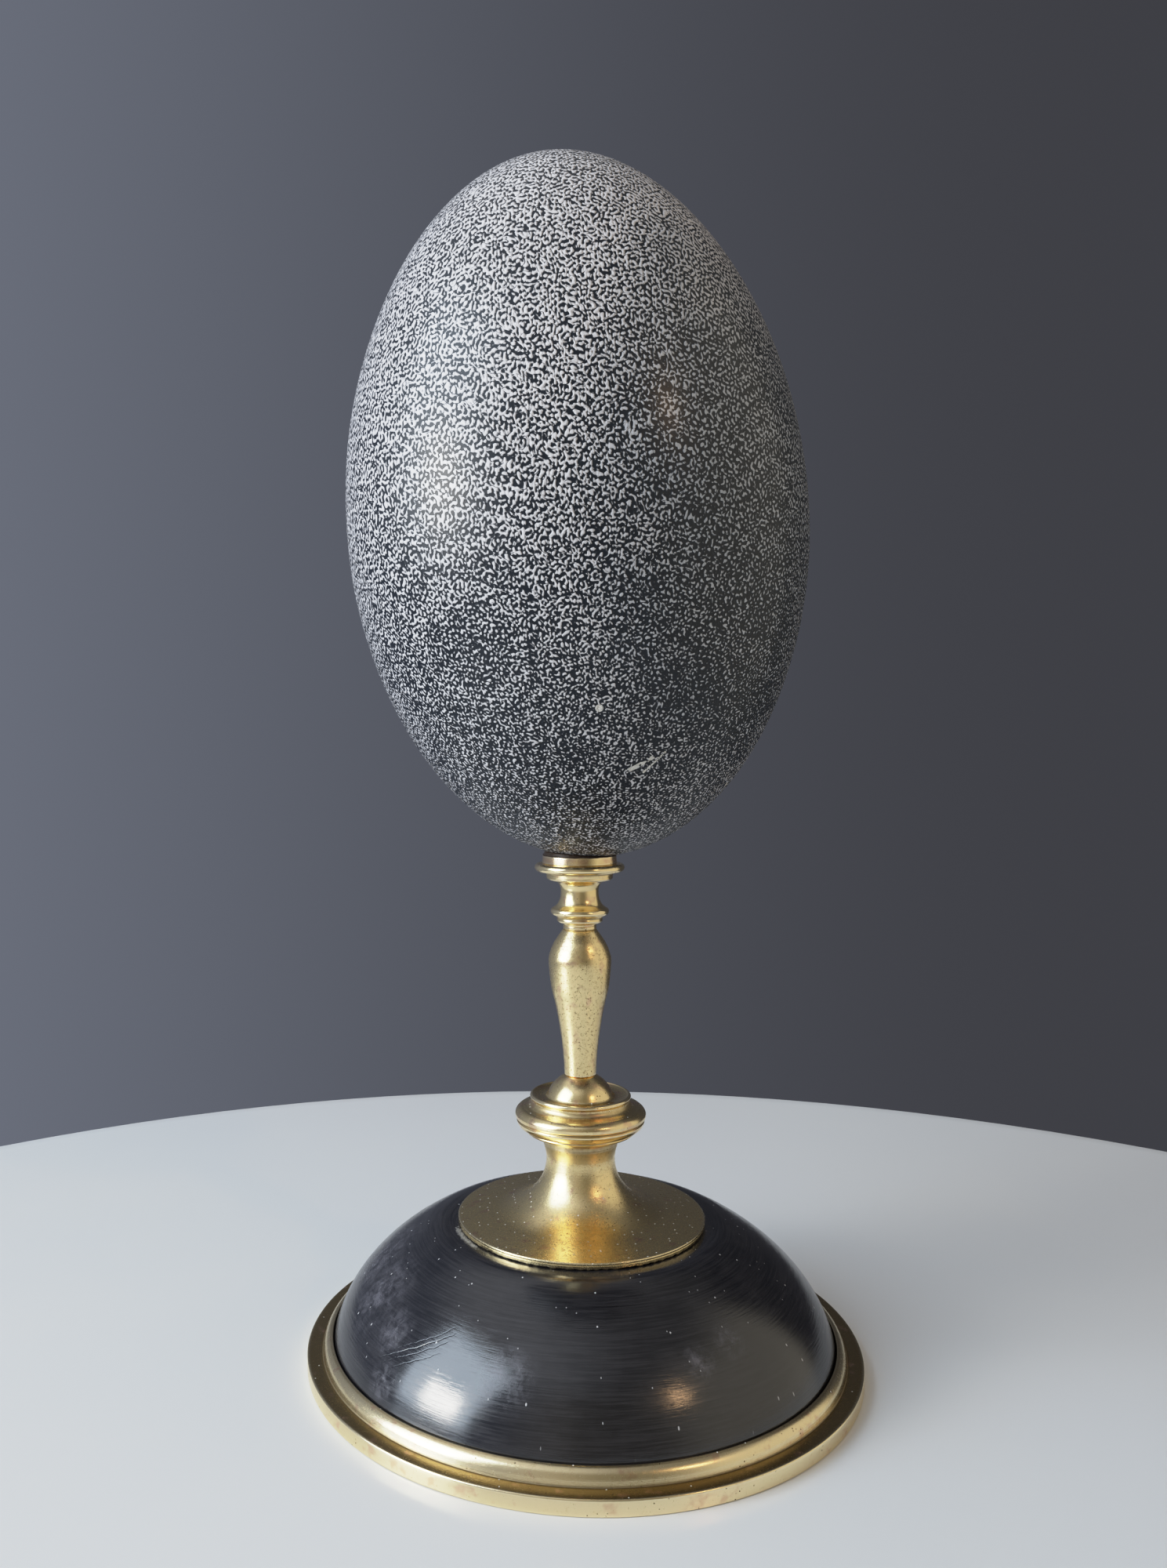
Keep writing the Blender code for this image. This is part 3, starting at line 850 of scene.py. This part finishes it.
# %% Haze on the wood
# Of each patch: its middle and its reach, in mm.
HAZE = (((-40.2, 0.2, 18.7), 13.0), ((-38.7, -13.9, 18.0), 11.0), ((-35.6, -24.9, 15.5), 6.0),
        ((-37.3, -30.0, 8.8), 5.0), ((-15.9, -40.8, 15.2), 7.0), ((17.3, -38.6, 16.8), 4.0),
        ((23.1, -34.1, 17.9), 4.0))

black = material_shop("blackened_wood")
across = black.ring_radius()
angle = black.math("ARCTAN2", black.y, black.x)
smears = black.noise(0.5, 5.0, 0.65, distortion=0.4)
haze = 0.0
for middle, reach in HAZE:
    haze = black.either(haze, black.near(middle, reach))
haze = haze * black.between(smears, 0.35, 0.75)
print(len(HAZE), "patches of haze")

# %% Cracks in the wood
CRACKS = ((0.0, 0.8), (-0.9, 0.4), (0.8, 0.3), (-2.1, 0.25))  # mm above the main crack, and strength
CRACK_START = (math.radians(213.5 - 360), 11.1)  # angle round the axis, height in mm
CRACK_END = (math.radians(234.0 - 360), 19.0)
CRACK_HALF = 0.17  # mm, half of a crack's width

share = (angle - CRACK_START[0]) * (1 / (CRACK_END[0] - CRACK_START[0]))
within = black.between(share, 0.0, 0.15) * (1 - black.between(share, 0.8, 1.0))
wandering = (black.noise(0.6, 2.0) - 0.5) * 0.8
climb = black.z - share * (CRACK_END[1] - CRACK_START[1]) - CRACK_START[1] + wandering
cracks = 0.0
for offset, strength in CRACKS:
    one = 1 - black.between(black.math("ABSOLUTE", climb - offset), 0.0, CRACK_HALF)
    cracks = black.either(cracks, one * strength)
cracks = cracks * within
print(len(CRACKS), "cracks side by side")

# %% Crumbs and dust on the wood
CRUMBS_MIDDLE = math.radians(202 - 360)  # angle round the axis, beside the disc
CRUMBS_HALF = math.radians(18)

band = 1 - black.between(black.math("ABSOLUTE", across - disc - 0.5), 0.1, 1.4)
away = black.math("ABSOLUTE", angle - CRUMBS_MIDDLE)
beside = 1 - black.between(away, CRUMBS_HALF * 0.5, CRUMBS_HALF)
crumbly = (black.noise(2.6, 5.0, 0.8) - 0.5) * 3.0
crumbs = black.between(band * beside + crumbly, 0.5, 1.2) * band
coarse_dust = black.dots(3.1, 0.15, 0.09, fallen=True)
fine_dust = black.dots(1.7, 0.1, 0.07, fallen=True) * 0.7
dust = black.either(coarse_dust, fine_dust) * black.between(black.attribute("level"), 0.2, 0.5)
print(f"the wood's marks: {len(black.tree.nodes)} nodes so far")

# %% The wood
EBONISED = ((0.004, 0.004, 0.006), (0.020, 0.019, 0.022))
HAZED = (0.15, 0.145, 0.17)
CRACKED = (0.002, 0.002, 0.002)
CRUMB = (0.36, 0.36, 0.36)
WOOD_DUST = (0.55, 0.55, 0.56)

line_at = black.vector(black.x * 0.1, black.y * 0.1, black.z * 3.0 - across * 1.8)
lines = black.noise(1.0, 4.0, 0.65, at=line_at)
scuff_at = black.vector(black.x * 0.35 + black.z * 0.9, black.y * 0.3, black.z * 2.5)
scuffs = black.noise(1.0, 3.0, 0.6, at=scuff_at)
soft = black.noise(0.12, 4.0, 0.6)
streaks = black.between(soft * 0.35 + lines * 0.65, 0.36, 0.66)
colour = black.mix(streaks, *EBONISED)
colour = black.mix(haze * 0.65, colour, HAZED)
colour = black.mix(cracks * 0.7, colour, CRACKED)
colour = black.mix(crumbs * 0.7, colour, CRUMB)
colour = black.mix(dust, colour, WOOD_DUST)
relief = black.bump(lines, 0.022, black.bump(scuffs, 0.015, black.bump(1 - cracks, 0.035)))
waxed = 0.155 + (soft - 0.5) * 0.16 + (lines - 0.5) * 0.28 + (scuffs - 0.5) * 0.12
ebonised = black.finish(Base_Color=colour, Normal=relief, Roughness=waxed + haze * 0.2 + crumbs * 0.4,
                        Specular_IOR_Level=0.85)

# %% [markdown]
# ## Every piece takes its place
#
# Each surface stands for the solid of the same piece, which is hidden. It rides on the one body that
# the model has. Every mesh already lies in its place, so its object stays at the origin, and the
# patterns stay where they are on it.

# %% Ride, replace and finish
PIECES = (
    (egg, "egg", "dark_eggshell", eggshell),
    (seat, "seat", "dark_mastic", mastic),
    (cup, "egg_cup", "rosy_brass", cup_brass),
    (collar, "collar", "aged_brass", collar_brass),
    (stem, "baluster", "aged_brass", stem_brass),
    (knop, "knop", "aged_brass", knop_brass),
    (foot, "trumpet_foot", "aged_brass", disc_brass),
    (wood, "plinth", "ebonised_wood", ebonised),
    (plate, "base_plate", "aged_brass", plate_brass),
)
for piece, node, slot, finish in PIECES:
    piece.data.materials.append(finish)
    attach(piece, "root")
    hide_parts(node)
print(len(PIECES), "pieces ride on the root body")

# %% [markdown]
# ## Floor and light
#
# The floor is a plain pale round table top. It is polished a little, because bright streaks run down
# the brass to its very foot: low down they are the window again, seen in the table.
#
# The light is a tall, cool window on the left with a warmer, brighter part low in it, and a small
# warm lamp on the right that leaves glints. Brass and black wax show nothing but their surroundings, so
# those are given too: a broad pale wall on the right, a room in front that grows dimmer to the right,
# and a dark backdrop, lighter towards the window, that draws the brass's edges. A panorama image would
# do that as well, but then its parts couldn't be set one by one.

# %% The floor
FLOOR_RADIUS = 280.0  # mm
FLOOR_CENTRE_Y = -100.0  # mm
FLOOR_TOP = -0.05  # mm, just under the plate
FLOOR_BOTTOM = -6
PALE = ((0.77, 0.79, 0.81), (0.81, 0.82, 0.82))

floor = turned("floor", soften(
    [(0, FLOOR_TOP), (FLOOR_RADIUS, FLOOR_TOP), (FLOOR_RADIUS, FLOOR_BOTTOM), (0, FLOOR_BOTTOM)],
    rounding=0.5, longest=20.0), 128)
floor.data.transform(Matrix.Translation((0, FLOOR_CENTRE_Y * MM, 0)))
pale_top = material_shop("pale_floor")
pale_colour = pale_top.mix(pale_top.noise(0.02, 3.0), *PALE)
floor.data.materials.append(pale_top.finish(Base_Color=pale_colour, Roughness=0.2))

# %% Soft lights
AIM = Vector((0, 0, 0.1))  # metres, as are the distances and sizes below


def soft_light(name, azimuth, elevation, distance, size, radiance, colour):
    """A rectangle that faces the object. Azimuth 0 is on the camera's side and 90 on the right. Its
    power is radiance * pi * area, so that a larger one isn't dimmer.
    """
    a, e = math.radians(azimuth), math.radians(elevation)
    lamp = bpy.data.lights.new(name, "AREA")
    lamp.shape = "RECTANGLE"
    lamp.size, lamp.size_y = size
    lamp.energy = radiance * math.pi * size[0] * size[1]
    lamp.color = colour
    holder = bpy.data.objects.new(name, lamp)
    towards = Vector((math.sin(a) * math.cos(e), -math.cos(a) * math.cos(e), math.sin(e)))
    holder.location = AIM + distance * towards
    holder.rotation_euler = (AIM - holder.location).to_track_quat("-Z", "Y").to_euler()
    holder.visible_camera = False
    bpy.context.scene.collection.objects.link(holder)
    print(f"{name}: {lamp.energy:.2f} W")


soft_light("window", -70, 25, 1.1, (0.75, 1.02), 5.8, (0.74, 0.87, 1.0))
soft_light("window_core", -67, 13, 1.0, (0.3, 0.28), 17.0, (1.0, 0.93, 0.82))
soft_light("warm_lamp", 43.5, 32, 1.0, (0.032, 0.032), 160.0, (1.0, 0.6, 0.3))

# %% The surroundings
BACKDROP = (0.048, 0.049, 0.058)
LEFT_WALL = (0.26, 0.29, 0.37)
ROOM = ((0.40, 0.38, 0.34), (0.17, 0.16, 0.135))  # in front: on the window's side, and on the other
RIGHT_WALL = (0.66, 0.61, 0.51)
CEILING = ((0.68, 0.70, 0.75), (0.19, 0.185, 0.18))  # on the window's side, and on the other

room = Shop(bpy.data.worlds.new("surroundings"), "Background", "Generated", 1.0)
# The angle in degrees from straight behind the object: 90 is on the left and -90 on the right.
from_back = room.math("DEGREES", room.math("ARCTAN2", 0 - room.x, room.y))
away = room.math("ABSOLUTE", from_back)
left = room.between(from_back, -30, 85) * (1 - room.between(from_back, 125, 172))
right = room.between(0 - from_back, 62, 72) * (1 - room.between(0 - from_back, 125, 158))
front = room.mix(room.between(room.x, -0.4, 0.2), *ROOM)
around = room.mix(room.between(away, 125, 150), BACKDROP, front)
around = room.mix(right, room.mix(left, around, LEFT_WALL), RIGHT_WALL)
above = room.mix(room.between(room.x, -0.3, 0.3), *CEILING)
room.finish(Color=room.mix(room.between(room.z, 0.6, 0.88), around, above))
bpy.context.scene.world = room.owner

# %% [markdown]
# ## How the picture takes bright light
#
# The window in the brass is many times brighter than the pale floor. Cut off at white it would be
# a flat blot, so bright light is rolled off as film does it: up to half of white nothing changes, and
# light four times as bright as white just reaches it. As each colour is rolled off by itself, the
# brass's highlights turn cream before they turn white.

# %% The roll-off
BRIGHTEST = 4.0
ROLL_OFF = ((0.25, 0.25), (0.5, 0.49), (0.8, 0.71), (1.2, 0.84), (2.0, 0.93))  # light in, light out

look = bpy.context.scene.view_settings
look.view_transform = "Standard"
look.use_curve_mapping = True
look.curve_mapping.white_level = (BRIGHTEST,) * 3
response = look.curve_mapping.curves[3]
for light, shown in ROLL_OFF:
    response.points.new(light / BRIGHTEST, shown)
look.curve_mapping.update()
print("roll-off points:", len(response.points))

# %% [markdown]
# ## The camera
#
# The ellipses that the round rims make in the picture fix the camera: its distance, its height and
# its angle of view. The picture was cut unevenly from a wider one, so the middle of the lens isn't the
# middle of the picture. A sideways shift of the lens puts that right.

# %% Place the camera
SENSOR = 36.0  # mm
IMAGE = (1489, 2000)  # pixels, width and height
FOCAL = 1555.0  # pixels
LENS_CENTRE_X = 624.7  # pixels from the picture's left edge
CAMERA_AT = Vector((-17.74, -241.06, 121.41))  # mm
PITCH = math.radians(1.963)  # downwards
ROLL = math.radians(-0.346)

camera = bpy.data.cameras.new("camera")
camera.sensor_width = SENSOR
camera.lens = SENSOR * FOCAL / max(IMAGE)
camera.shift_x = (IMAGE[0] / 2 - LENS_CENTRE_X) / max(IMAGE)
camera.clip_start = 0.01
view = bpy.data.objects.new("camera", camera)
view.matrix_world = (Matrix.Translation(CAMERA_AT * MM) @ Matrix.Rotation(math.pi / 2 - PITCH, 4, "X")
                     @ Matrix.Rotation(ROLL, 4, "Z"))
bpy.context.scene.collection.objects.link(view)
bpy.context.scene.camera = view
print(f"lens {camera.lens:.2f} mm, shift {camera.shift_x:.4f}")
